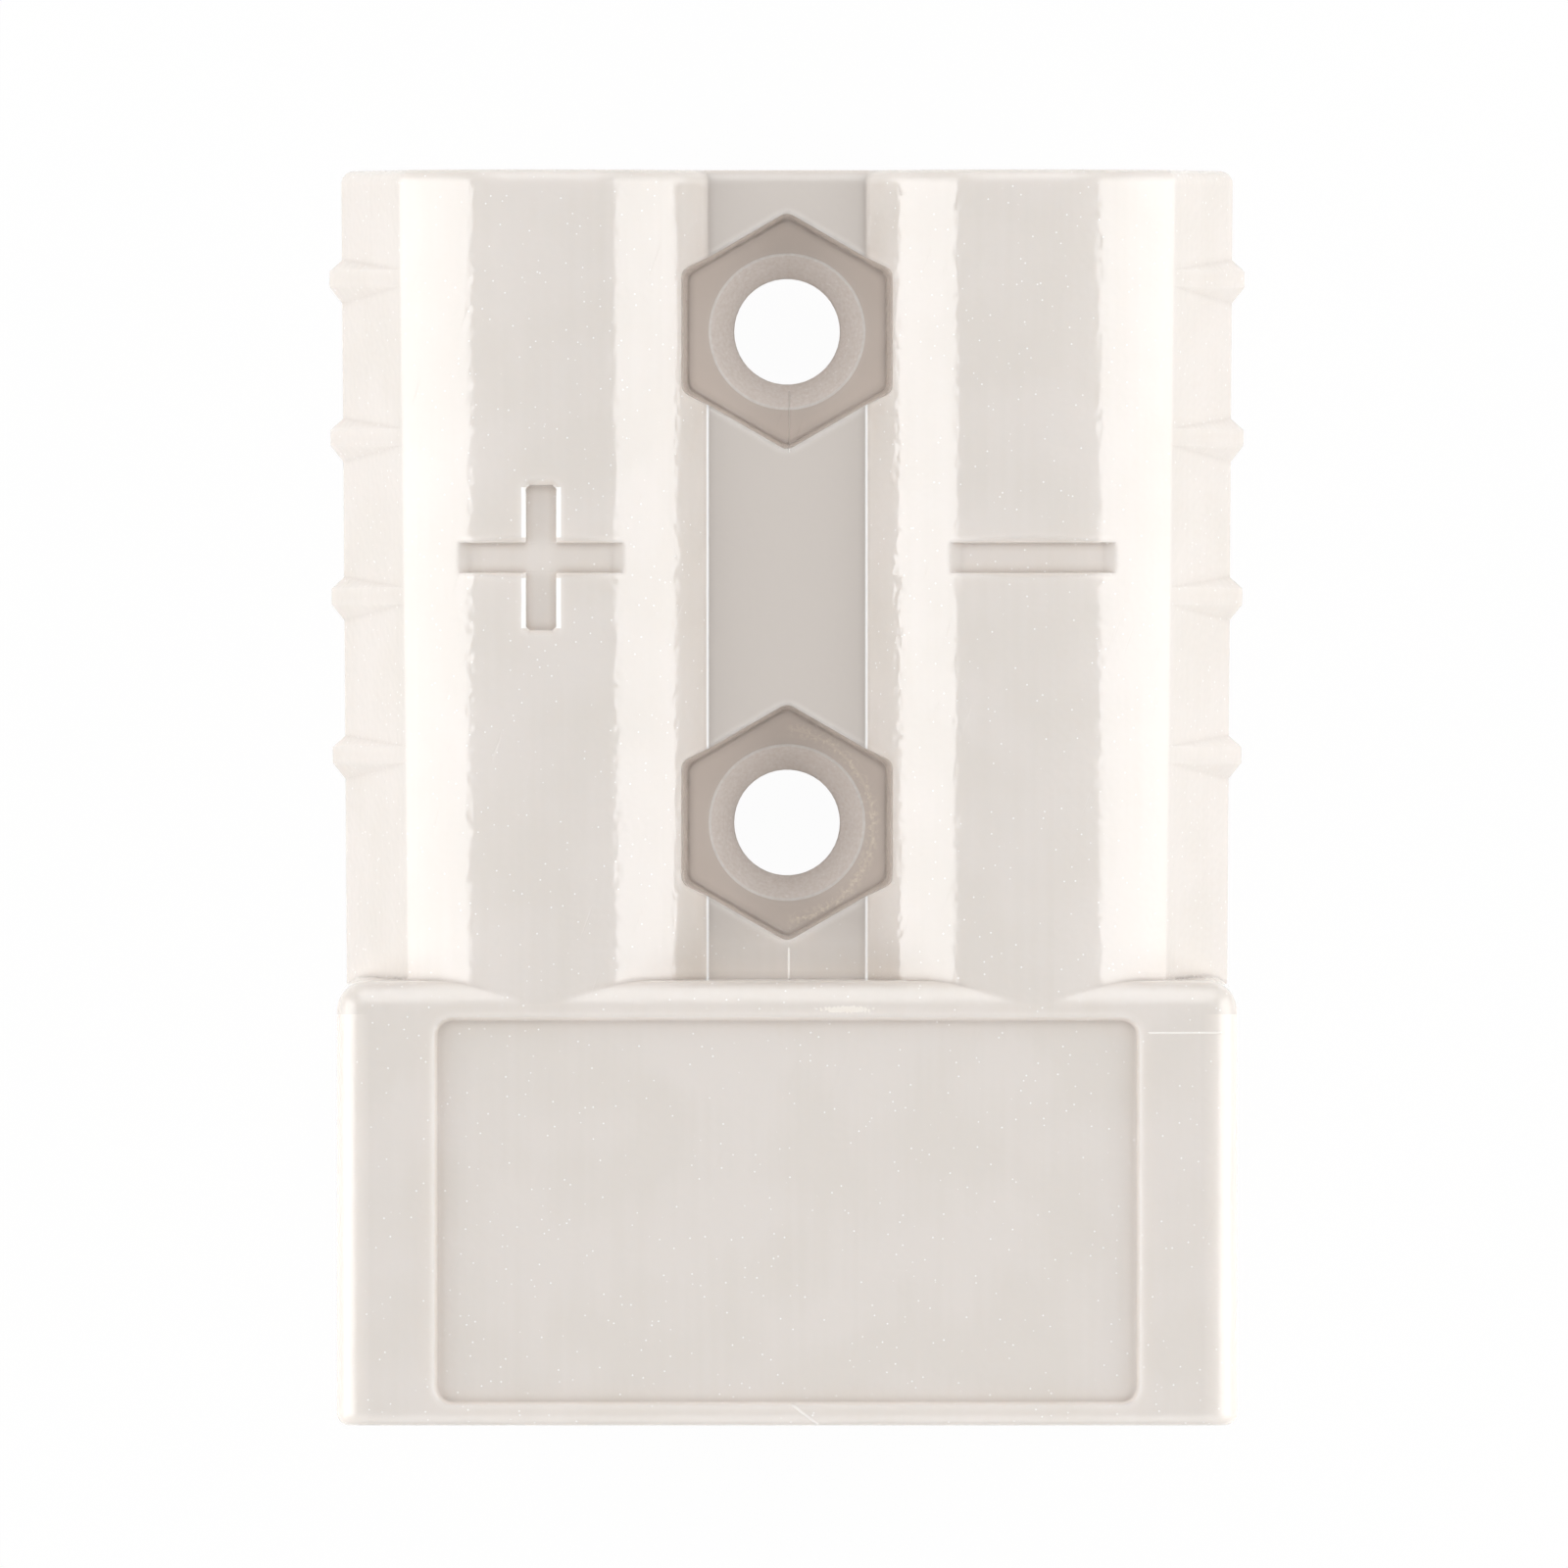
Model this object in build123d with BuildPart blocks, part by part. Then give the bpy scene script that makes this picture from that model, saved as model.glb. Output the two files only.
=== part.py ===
from build123d import *
import math
import os

os.makedirs("parts", exist_ok=True)

# Two-pole genderless power connector for heavy battery leads.
# +Y is the wire end, -Y the mating face, +Z the side with the nut pockets.
# The origin lies under the middle of the housing, on the surface it rests on.
# All sizes are in millimetres.

# Housing, overall
length = 49.8
height = 16.0
box_width = 35.7
box_length = 17.6

# Barrels round the two wires and the web between them
pole_spacing = 19.5
barrel_radius = 7.97
barrel_run_in = 1.8
web_half_height = 4.4
end_round = 0.5

# Flat grip panels on the outer sides of the barrels
crease_angle = 45.0
grip_draft = 0.22

# Grip ribs, counted from the wire end
rib_count = 4
rib_first = 4.3
rib_pitch = 6.3
rib_height = 0.5
rib_crest = 0.65
rib_rear_flank = 0.5
rib_front_flank = 0.7
rib_round = 0.3

# Box at the front
box_rear_draft = 0.25
box_long_round = 1.05
box_rear_round = 1.2
box_front_round = 0.5

# Recessed label panel on the box
panel_width = 28.0
panel_length = 15.4
panel_depth = 0.45
panel_corner = 0.75
panel_front_margin = 0.8
panel_draft = 20.0

# Mounting holes and hexagonal nut pockets in the web
hole_spacing = 19.5
hole_rear_margin = 6.4
hole_radius = 2.1
countersink_radius = 3.07
countersink_angle = 90.0
pocket_sides = 6
pocket_across_flats = 7.85
pocket_draft = 4.0
pocket_corner = 0.5
pocket_floor = 1.8

# Sunk polarity marks on the barrel crowns
mark_rear_margin = 15.4
mark_span = 6.6
mark_rise = 6.15
mark_stroke = 1.6
mark_depth = 0.5
mark_draft = 8.0
mark_rim_depth = 0.2
mark_rim_draft = 43.0
mark_floor_radius = 12.0
mark_end_run = 0.5
mark_corner_cut = 0.28

# Wire entries
wire_bore_radius = 5.0
wire_bore_length = 16.4
wire_mouth_chamfer = 0.6

# Mating end: hood above the parting plane, tongues below it
mating_depth = 14.0
mating_gap = 0.1
hood_side_wall = 1.6
hood_roof = 1.8
hood_partition = 2.4
hood_extra_depth = 0.5
hood_corner = 0.8
hood_mouth_chamfer = 0.35
hood_mouth_angle = 45.0
tongue_clearance = 0.25
tongue_setback = 0.8
tongue_drop = 0.3
tongue_corner_round = 0.8
tongue_lead_in = 0.6
tongue_run_in = 1.5

# Key ribs in the hood and their grooves in the tongues
key_offset = 3.8
key_width = 1.6
key_height = 1.5
key_clearance = 0.25

# Contacts
crimp_outer_radius = 3.6
crimp_inner_radius = 2.8
crimp_length = 13.0
crimp_depth = 12.0
crimp_mouth_chamfer = 0.25
crimp_recess = 0.5
neck_length = 4.0
blade_width = 6.6
blade_thickness = 1.5
blade_edge_chamfer = 0.2
blade_setback = 1.9
hook_drop = 2.9
hook_inner_round = 0.5
contact_clearance = 0.2
passage_wall = 1.2

# Leaf springs
spring_width = 6.0
spring_thickness = 0.4
spring_clearance = 0.05
spring_tail = 2.6
spring_crest_back = 4.4
spring_end_gap = 0.3
spring_side_clearance = 0.1
slot_extra_depth = 0.4
channel_depth = 4.4
channel_side_clearance = 0.3
channel_front_wall = 0.8
channel_lip_drop = 0.9

# Places that follow from the sizes; heights count from the parting plane
mid = height / 2
rear_y = length / 2
front_y = -length / 2
pole_x = pole_spacing / 2
box_rear_y = front_y + box_length
shoulder_y = front_y + mating_depth
hood_floor_y = shoulder_y + hood_extra_depth
grip_length = rear_y - box_rear_y
side_x = pole_x + barrel_radius
crease_x = pole_x + barrel_radius * math.cos(math.radians(crease_angle))
crease_z = barrel_radius * math.sin(math.radians(crease_angle))
hole_rear_y = rear_y - hole_rear_margin
hole_middle_y = hole_rear_y - hole_spacing / 2
pocket_turn = 180 / pocket_sides
mark_y = rear_y - mark_rear_margin
mark_floor = barrel_radius - mark_depth
mark_reach = mark_span / 2 + mark_end_run
mark_half_angle = math.degrees(math.asin(mark_reach / mark_floor_radius))
mark_wall_depth = mark_depth - mark_rim_depth
mark_wall_run = mark_wall_depth * math.tan(math.radians(mark_draft))
mark_rim_run = mark_rim_depth * math.tan(math.radians(mark_rim_draft))
panel_y = front_y + panel_front_margin + panel_length / 2
wire_bore_y = rear_y - wire_bore_length
crimp_rear_y = wire_bore_y - crimp_recess
crimp_front_y = crimp_rear_y - crimp_length
neck_front_y = crimp_front_y - neck_length
seat_radius = crimp_outer_radius + contact_clearance
seat_front_y = hood_floor_y + passage_wall
passage_width = blade_width + 2 * contact_clearance
passage_floor = -hook_drop - contact_clearance
hood_inner_x = box_width / 2 - hood_side_wall
hood_ceiling = mid - hood_roof
chamber_width = hood_inner_x - hood_partition / 2
chamber_x = hood_inner_x - chamber_width / 2
tongue_front_y = front_y + tongue_setback
tongue_under = tongue_clearance - hood_ceiling
tongue_inner_x = hood_partition / 2 + tongue_clearance
tongue_outer_x = hood_inner_x - tongue_clearance
tongue_width = tongue_outer_x - tongue_inner_x
tongue_x = tongue_outer_x - tongue_width / 2
channel_width = blade_width + 2 * channel_side_clearance
channel_front_y = tongue_front_y + channel_front_wall
key_groove_width = key_width + 2 * key_clearance
key_groove_top = key_height + key_clearance - hood_ceiling
blade_tip_y = front_y + blade_setback
spring_seat = -channel_depth + spring_clearance + spring_thickness / 2
spring_crest = -blade_thickness - spring_clearance - spring_thickness / 2
spring_crest_y = channel_front_y + spring_crest_back
spring_nose_y = blade_tip_y + blade_thickness + spring_end_gap


def across(y):
    """Plane square to the wires at y, with its middle on the parting plane."""
    return Plane(origin=(0, y, mid), x_dir=(1, 0, 0), z_dir=(0, -1, 0))


def level(z):
    """Horizontal plane at z above the parting plane."""
    return Plane.XY.offset(mid + z)


def lengthwise(x, tilt=0.0, rise=0.0):
    """Plane along the wires at x, leaning to -X by tilt degrees about a line at rise."""
    lean = math.radians(tilt)
    normal = (math.cos(lean), 0, math.sin(lean))
    return Plane(origin=(x, 0, mid + rise), x_dir=(0, 1, 0), z_dir=normal)


def grip_plane(side, half):
    """Plane of one flat grip panel; half is 1 above and -1 below the middle."""
    rise = Vector(-side * (side_x - crease_x), 0, half * crease_z)
    run = Vector(-side * grip_draft, -grip_length, 0)
    inwards = run.cross(rise) * (side * half)
    return Plane(origin=(side * side_x, rear_y, mid), x_dir=run, z_dir=inwards)


def barrel(side):
    """Barrel round one wire, with its flat grip panels and its rounded end."""
    with BuildPart(mode=Mode.PRIVATE) as shell:
        with BuildSketch(across(rear_y)):
            with Locations((side * pole_x, 0)):
                Circle(barrel_radius)
        extrude(amount=grip_length + barrel_run_in)
        for half in (-1, 1):
            split(bisect_by=grip_plane(side, half), keep=Keep.TOP)
        fillet(shell.faces().sort_by(Axis.Y)[-1].edges(), end_round)
    return shell.part


def web():
    """Flat web from pole to pole, with the long edges of its end rounded."""
    with BuildPart(mode=Mode.PRIVATE) as plate:
        with BuildSketch(across(rear_y)):
            Rectangle(pole_spacing, 2 * web_half_height)
        extrude(amount=grip_length + barrel_run_in)
        end = plate.faces().sort_by(Axis.Y)[-1]
        fillet(end.edges().filter_by(Axis.X), end_round)
    return plate.part


def crease(inset):
    """Place beside and above the pole where a panel, set in by inset, leaves the barrel."""
    reach = barrel_radius - inset
    lean = side_x - crease_x
    chord = math.hypot(lean, crease_z)
    middle = reach * lean / chord
    share = (middle + math.sqrt(middle**2 + barrel_radius**2 - reach**2)) / chord
    return reach - share * lean, share * crease_z


def grip_rib(side, y):
    """Rib across one side: proud in the middle, run out at the two creases."""
    inset = grip_draft * (rear_y - y) / grip_length
    crease_out, crease_up = crease(inset)
    outline = [
        (side * pole_x, 0),
        (side * (pole_x + crease_out), crease_up),
        (side * (side_x - inset + rib_height), 0),
        (side * (pole_x + crease_out), -crease_up),
    ]
    rear_slope = math.degrees(math.atan(rib_height / rib_rear_flank))
    front_slope = math.degrees(math.atan(rib_height / rib_front_flank))
    with BuildPart(mode=Mode.PRIVATE) as rib:
        with BuildSketch(across(y + rib_crest / 2)) as rear_outline:
            with BuildLine():
                Polyline(outline, close=True)
            make_face()
        extrude(amount=rib_crest)
        extrude(rear_outline.sketch, amount=-rib_rear_flank, taper=rear_slope)
        with BuildSketch(across(y - rib_crest / 2)) as front_outline:
            add(rear_outline.sketch_local)
        extrude(front_outline.sketch, amount=rib_front_flank, taper=front_slope)
        crest = rib.edges().filter_by_position(Axis.Y, y - rib_crest, y + rib_crest)
        rims = crest.filter_by(Axis.Y, reverse=True).group_by(Axis.X)[0 if side < 0 else -1]
        fillet(rims, rib_round)
    return rib.part


def nut_pocket(y):
    """Hexagonal pocket with a corner towards the wires' ends, wider at the top."""
    with BuildPart(mode=Mode.PRIVATE) as pocket:
        with BuildSketch(level(pocket_floor)):
            with Locations((0, y)):
                RegularPolygon(
                    pocket_across_flats / 2,
                    pocket_sides,
                    major_radius=False,
                    rotation=pocket_turn,
                )
        extrude(amount=mid - pocket_floor, taper=-pocket_draft)
        fillet(pocket.edges().group_by(Axis.Z)[1], pocket_corner)
    return pocket.part


def mark_groove(x):
    """Groove across the crown of the barrel at x, with a flatter floor and sloped ends."""
    centre_z = mark_floor - mark_floor_radius
    shoulder = mark_floor_radius + mark_wall_depth
    over = shoulder + 2 * mark_depth
    shoulder_half = mark_stroke / 2 - mark_rim_run
    floor_half = shoulder_half - mark_wall_run
    over_half = shoulder_half + 2 * mark_depth * math.tan(math.radians(mark_rim_draft))
    foot = mark_span / 2 - mark_end_run
    foot_z = centre_z + math.sqrt(mark_floor_radius**2 - foot**2)
    edge_z = math.sqrt(barrel_radius**2 - (mark_span / 2) ** 2)
    with BuildPart(mode=Mode.PRIVATE) as groove:
        with BuildSketch(lengthwise(x, mark_half_angle, centre_z)):
            with BuildLine():
                Polyline(
                    (mark_y - floor_half, mark_floor_radius),
                    (mark_y + floor_half, mark_floor_radius),
                    (mark_y + shoulder_half, shoulder),
                    (mark_y + over_half, over),
                    (mark_y - over_half, over),
                    (mark_y - shoulder_half, shoulder),
                    close=True,
                )
            make_face()
        axis = Axis((x, 0, mid + centre_z), (0, 1, 0))
        revolve(axis=axis, revolution_arc=2 * mark_half_angle)
        with BuildSketch(across(mark_y)):
            with BuildLine():
                Polyline(
                    (x - foot, 0),
                    (x - foot, foot_z),
                    (x - mark_reach, 2 * edge_z - foot_z),
                    (x - mark_reach, barrel_radius + mark_depth),
                    (x + mark_reach, barrel_radius + mark_depth),
                    (x + mark_reach, 2 * edge_z - foot_z),
                    (x + foot, foot_z),
                    (x + foot, 0),
                    close=True,
                )
            make_face()
        extrude(amount=mark_stroke, both=True, mode=Mode.INTERSECT)
    return groove.part


def mark_bar(x):
    """Bar along the crown of the barrel at x, which makes a groove a plus."""
    stroke = mark_stroke - 2 * mark_rim_run
    rise = mark_rise - 2 * mark_rim_run
    with BuildPart(mode=Mode.PRIVATE) as bar:
        with BuildSketch(Plane(origin=(x, mark_y, mid + barrel_radius))) as outline:
            Rectangle(mark_stroke, mark_rise)
            chamfer(outline.vertices(), mark_corner_cut)
        extrude(amount=-mark_rim_depth, taper=mark_rim_draft)
        with BuildSketch(Plane(origin=(x, mark_y, mid + barrel_radius - mark_rim_depth))):
            Rectangle(stroke, rise)
        extrude(amount=-mark_wall_depth, taper=mark_draft)
    return bar.part


def hood_chamber(side):
    """Space in the hood over one tongue, with its key rib left standing."""
    with BuildPart(mode=Mode.PRIVATE) as chamber:
        with BuildSketch(across(front_y)) as window:
            with Locations((side * chamber_x, 0)):
                Rectangle(chamber_width, 2 * hood_ceiling)
            fillet(window.vertices().group_by(Axis.Z)[-1], hood_corner)
        extrude(amount=front_y - hood_floor_y)
        with BuildSketch(across(front_y)) as mouth:
            with Locations((side * chamber_x, 0)):
                Rectangle(
                    chamber_width + 2 * hood_mouth_chamfer,
                    2 * (hood_ceiling + hood_mouth_chamfer),
                )
        extrude(amount=-hood_mouth_chamfer, taper=hood_mouth_angle)
        with BuildSketch(across(front_y)):
            with Locations((side * key_offset, hood_ceiling)):
                Rectangle(key_width, 2 * key_height)
        extrude(amount=front_y - hood_floor_y, mode=Mode.SUBTRACT)
    return chamber.part


def tongue(side):
    """Tongue that carries one contact, still without its channel."""
    with BuildPart(mode=Mode.PRIVATE) as body:
        with BuildSketch(across(shoulder_y + tongue_run_in)) as section:
            with Locations((side * tongue_x, tongue_under)):
                Rectangle(
                    tongue_width,
                    -tongue_under - tongue_drop,
                    align=(Align.CENTER, Align.MIN),
                )
            fillet(section.vertices().group_by(Axis.Z)[0], tongue_corner_round)
        extrude(amount=shoulder_y + tongue_run_in - tongue_front_y)
        nose = body.faces().sort_by(Axis.Y)[0]
        chamfer(nose.edges().sort_by(Axis.Z)[:-1], tongue_lead_in)
    return body.part


def neck(x):
    """Flattened end of a crimp barrel, ramped down to the width of the blade."""
    radius = crimp_outer_radius
    with BuildPart(mode=Mode.PRIVATE) as ramp:
        with BuildSketch(across(crimp_front_y)):
            with Locations((x, 0)):
                Circle(radius)
        extrude(amount=neck_length)
        with BuildSketch(lengthwise(x)):
            with BuildLine():
                Polyline(
                    (crimp_front_y, radius),
                    (neck_front_y, 0),
                    (neck_front_y, -blade_thickness),
                    (crimp_front_y, -radius),
                    close=True,
                )
            make_face()
        extrude(amount=radius, both=True, mode=Mode.INTERSECT)
        with BuildSketch(level(0)):
            with BuildLine():
                Polyline(
                    (x - radius, crimp_front_y),
                    (x - blade_width / 2, neck_front_y),
                    (x + blade_width / 2, neck_front_y),
                    (x + radius, crimp_front_y),
                    close=True,
                )
            make_face()
        extrude(amount=radius, both=True, mode=Mode.INTERSECT)
    return ramp.part


def hooked_blade(x):
    """Flat blade whose tip is bent down into a hook."""
    strip = -blade_thickness / 2
    bend = hook_inner_round + blade_thickness / 2
    hook_y = blade_tip_y + blade_thickness / 2
    with BuildPart(mode=Mode.PRIVATE) as blade:
        with BuildSketch(lengthwise(x)):
            with BuildLine():
                run = Line((neck_front_y, strip), (hook_y + bend, strip))
                turn = TangentArc(run @ 1, (hook_y, strip - bend), tangent=run % 1)
                Line(turn @ 1, (hook_y, -hook_drop))
            trace(line_width=blade_thickness)
        extrude(amount=blade_width / 2, both=True)
        sides = blade.faces().sort_by(Axis.X)
        chamfer(sides[0].edges() + sides[-1].edges(), blade_edge_chamfer)
    return blade.part


def contact(x):
    """Crimp barrel, neck and hooked blade of one contact, all in one piece."""
    with BuildPart(mode=Mode.PRIVATE) as body:
        with BuildSketch(across(crimp_rear_y)):
            with Locations((x, 0)):
                Circle(crimp_outer_radius)
        extrude(amount=crimp_length)
        add(neck(x))
        add(hooked_blade(x))
        with BuildSketch(across(crimp_rear_y)):
            with Locations((x, 0)):
                Circle(crimp_inner_radius)
        extrude(amount=crimp_depth, mode=Mode.SUBTRACT)
        mouth = body.faces().sort_by(Axis.Y)[-1].edges()
        chamfer(mouth, crimp_mouth_chamfer)
    return body.part


def leaf_spring(x):
    """Bowed leaf under one blade, with its tail in the slot of the collar."""
    rise = spring_crest - spring_seat
    run = shoulder_y - spring_crest_y
    bow_radius = run / (2 * math.sin(2 * math.atan(rise / run)))
    nose_run = spring_crest_y - spring_nose_y
    nose_drop = bow_radius - math.sqrt(bow_radius**2 - nose_run**2)
    with BuildPart(mode=Mode.PRIVATE) as leaf:
        with BuildSketch(lengthwise(x)):
            with BuildLine():
                tail = Line((shoulder_y + spring_tail, spring_seat), (shoulder_y, spring_seat))
                middle = (shoulder_y - run / 2, spring_seat + rise / 2)
                foot = TangentArc(tail @ 1, middle, tangent=tail % 1)
                nose = (spring_nose_y, spring_crest - nose_drop)
                TangentArc(foot @ 1, nose, tangent=foot % 1)
            trace(line_width=spring_thickness)
        extrude(amount=spring_width / 2, both=True)
    return leaf.part


# Box: collar at the back, hood at the front, drafted rear face
with BuildPart() as box:
    with BuildSketch(across(box_rear_y + box_rear_draft)):
        RectangleRounded(box_width, height, box_long_round)
    extrude(amount=box_length + box_rear_draft)
    with BuildSketch(lengthwise(0)):
        with BuildLine():
            Polyline(
                (box_rear_y, -mid),
                (box_rear_y + box_rear_draft, 0),
                (box_rear_y, mid),
                (front_y, mid),
                (front_y, mating_gap),
                (shoulder_y, mating_gap),
                (shoulder_y, -mid),
                close=True,
            )
        make_face()
    extrude(amount=box_width / 2, both=True, mode=Mode.INTERSECT)
    rear_top = box.edges().filter_by(Axis.X).group_by(Axis.Z)[-1].sort_by(Axis.Y)[-1]
    fillet(rear_top, box_rear_round)
    front_top = box.edges().filter_by(Axis.X).group_by(Axis.Z)[-1].sort_by(Axis.Y)[0]
    fillet(front_top, box_front_round)
    for side in (-1, 1):
        add(hood_chamber(side), mode=Mode.SUBTRACT)

# Housing: web and barrels with their ribs, then the box and the tongues
with BuildPart() as housing:
    add(web())
    for side in (-1, 1):
        add(barrel(side))
        for n in range(rib_count):
            add(grip_rib(side, rear_y - rib_first - n * rib_pitch))
    add(box.part)
    for side in (-1, 1):
        add(tongue(side))

    # Label panel
    with BuildSketch(Plane(origin=(0, panel_y, height))):
        RectangleRounded(panel_width, panel_length, panel_corner)
    extrude(amount=-panel_depth, taper=panel_draft, mode=Mode.SUBTRACT)

    # Nut pockets with countersunk holes through the web
    for y in (hole_rear_y, hole_rear_y - hole_spacing):
        add(nut_pocket(y), mode=Mode.SUBTRACT)
    with Locations(level(pocket_floor)):
        with Locations((0, hole_middle_y)):
            with GridLocations(0, hole_spacing, 1, 2):
                CounterSinkHole(hole_radius, countersink_radius, counter_sink_angle=countersink_angle)

    # Polarity marks
    add(mark_groove(-pole_x), mode=Mode.SUBTRACT)
    add(mark_bar(-pole_x), mode=Mode.SUBTRACT)
    add(mark_groove(pole_x), mode=Mode.SUBTRACT)

    # Wire bores, contact seats and blade passages
    with BuildSketch(across(rear_y)):
        with GridLocations(pole_spacing, 0, 2, 1):
            Circle(wire_bore_radius)
    extrude(amount=wire_bore_length, mode=Mode.SUBTRACT)
    mouths = housing.faces().sort_by(Axis.Y)[-1].inner_wires().edges()
    chamfer(mouths, wire_mouth_chamfer)
    with BuildSketch(across(wire_bore_y)):
        with GridLocations(pole_spacing, 0, 2, 1):
            Circle(seat_radius)
    extrude(amount=wire_bore_y - seat_front_y, mode=Mode.SUBTRACT)
    with BuildSketch(across(wire_bore_y)):
        with Locations((-pole_x, passage_floor), (pole_x, passage_floor)):
            Rectangle(
                passage_width,
                contact_clearance - passage_floor,
                align=(Align.CENTER, Align.MIN),
            )
    extrude(amount=wire_bore_y - shoulder_y, mode=Mode.SUBTRACT)

    # Spring channels in the tongues, their front lips and the tail slots
    with BuildSketch(level(0)):
        with GridLocations(pole_spacing, 0, 2, 1):
            with Locations((0, shoulder_y)):
                Rectangle(
                    channel_width,
                    shoulder_y - channel_front_y,
                    align=(Align.CENTER, Align.MAX),
                )
    extrude(amount=-channel_depth, mode=Mode.SUBTRACT)
    with BuildSketch(level(0)):
        with GridLocations(pole_spacing, 0, 2, 1):
            with Locations((0, shoulder_y)):
                Rectangle(
                    channel_width,
                    shoulder_y - front_y,
                    align=(Align.CENTER, Align.MAX),
                )
    extrude(amount=-channel_lip_drop, mode=Mode.SUBTRACT)
    with BuildSketch(across(shoulder_y + spring_tail + slot_extra_depth)):
        with Locations((-pole_x, -channel_depth), (pole_x, -channel_depth)):
            Rectangle(
                spring_width + 2 * spring_side_clearance,
                spring_thickness + 2 * spring_clearance,
                align=(Align.CENTER, Align.MIN),
            )
    extrude(amount=spring_tail + slot_extra_depth, mode=Mode.SUBTRACT)

    # Key grooves along the undersides of the tongues
    with BuildSketch(across(shoulder_y)):
        with Locations((-key_offset, -mid), (key_offset, -mid)):
            Rectangle(
                key_groove_width,
                mid + key_groove_top,
                align=(Align.CENTER, Align.MIN),
            )
    extrude(amount=mating_depth, mode=Mode.SUBTRACT)

# Contacts
with BuildPart() as contact_positive:
    add(contact(-pole_x))

with BuildPart() as contact_negative:
    add(contact(pole_x))

# Leaf springs
with BuildPart() as contact_spring_positive:
    add(leaf_spring(-pole_x))

with BuildPart() as contact_spring_negative:
    add(leaf_spring(pole_x))

housing.part.label = "housing"
export_step(housing.part, "parts/housing.step")

contact_positive.part.label = "contact_positive"
export_step(contact_positive.part, "parts/contact_positive.step")

contact_negative.part.label = "contact_negative"
export_step(contact_negative.part, "parts/contact_negative.step")

contact_spring_positive.part.label = "contact_spring_positive"
export_step(contact_spring_positive.part, "parts/contact_spring_positive.step")

contact_spring_negative.part.label = "contact_spring_negative"
export_step(contact_spring_negative.part, "parts/contact_spring_negative.step")
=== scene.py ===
# %% [markdown]
# # A battery connector in moulded polycarbonate
#
# This lesson dresses a finished CAD model and photographs it from straight above. The model
# is the frame: its five pieces stay exactly where the CAD puts them, and this script gives
# them their plastic, their silver and their steel, the small marks that the mould has left,
# and the light of a product photograph.

import math

import bpy
from mathutils import Matrix, Vector

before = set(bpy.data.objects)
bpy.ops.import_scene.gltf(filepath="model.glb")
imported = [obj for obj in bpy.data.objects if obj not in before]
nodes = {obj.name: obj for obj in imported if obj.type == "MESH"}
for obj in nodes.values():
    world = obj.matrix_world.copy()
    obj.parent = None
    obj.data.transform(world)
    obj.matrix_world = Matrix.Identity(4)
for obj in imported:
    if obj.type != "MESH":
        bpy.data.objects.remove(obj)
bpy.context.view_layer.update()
print("pieces:", ", ".join(sorted(nodes)))

# %% [markdown]
# ## Camera
#
# The photograph looks straight down on the side with the nut pockets, from far away through a
# long lens: the barrels' walls show no perspective. An orthographic camera would show none at
# all, but no real camera works like that, and a very long lens comes to nearly the same. So
# the camera hangs high over the connector, and its lens is as long as the picture's width
# asks for. The connector lies a little off the picture's middle.

# %% Camera
picture_width = 62.24e-3
camera_rise = 2.7
mid_height = 12.0e-3
picture_middle = (-0.12e-3, 0.53e-3)

bpy.ops.object.camera_add(location=(*picture_middle, mid_height + camera_rise))
camera = bpy.context.object
camera.name = "overhead_camera"
camera.data.lens = camera.data.sensor_width * camera_rise / picture_width
bpy.context.scene.camera = camera
print("lens:", round(camera.data.lens), "mm")

# %% [markdown]
# ## Light
#
# Two softboxes stand close by, left and right of the connector, and nothing hangs over it.
# That is why the barrels have white flanks and grey crowns: the flanks mirror the softboxes,
# and the crowns mirror only the background, which is far dimmer. The edge between the two
# lies where a barrel leans by half the angle at which a softbox begins. Two weaker boxes
# behind the wire end and before the mating face brighten the walls that face them. A softbox
# is given by its bearing, its reach in metres and the angles from straight up at which it
# begins and ends. Its level is in watts for each square metre, so that its size can change
# and its brightness stays.

# %% Softboxes
def softbox(name, bearing, reach, begins, ends, length, level):
    """A flat lamp whose lower and upper edges lie at two angles from straight up."""
    turn = math.radians(bearing)
    lean = math.radians((begins + ends) / 2)
    half = math.radians((ends - begins) / 2)
    towards = Vector((
        math.sin(lean) * math.cos(turn),
        math.sin(lean) * math.sin(turn),
        math.cos(lean),
    ))
    upwards = Vector((
        -math.cos(lean) * math.cos(turn),
        -math.cos(lean) * math.sin(turn),
        math.sin(lean),
    ))
    bpy.ops.object.light_add(type="AREA")
    lamp = bpy.context.object
    lamp.name = name
    lamp.data.shape = "RECTANGLE"
    lamp.data.size = length
    lamp.data.size_y = 2 * reach * math.sin(half)
    lamp.data.energy = level * lamp.data.size * lamp.data.size_y
    lamp.visible_camera = False
    facing = Matrix((upwards.cross(towards), upwards, towards)).transposed().to_4x4()
    facing.translation = towards * reach * math.cos(half)
    lamp.matrix_world = facing
    return lamp


softbox("softbox_left", bearing=180, reach=0.225, begins=41.2, ends=89, length=0.25, level=8.9)
softbox("softbox_right", bearing=0, reach=0.2, begins=38.8, ends=89, length=0.25, level=7.9)
softbox("softbox_rear", bearing=90, reach=0.25, begins=30, ends=85, length=0.2, level=5.8)
softbox("softbox_front", bearing=270, reach=0.25, begins=30, ends=85, length=0.2, level=5.0)

# %% [markdown]
# ## Colours and nodes
#
# A colour is written as on a screen, in sRGB hex, and Blender calculates in linear light, so
# one function turns the one into the other. A second small function adds a node with its
# settings and links, which keeps every material below short enough to read.
#
# The Light Path node tells what kind of ray has met a surface. Rays from the camera, from a
# mirror and through glass see a background directly, and all others only gather light from
# it. The background and the floor both need to know, so the last function works it out.

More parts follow.
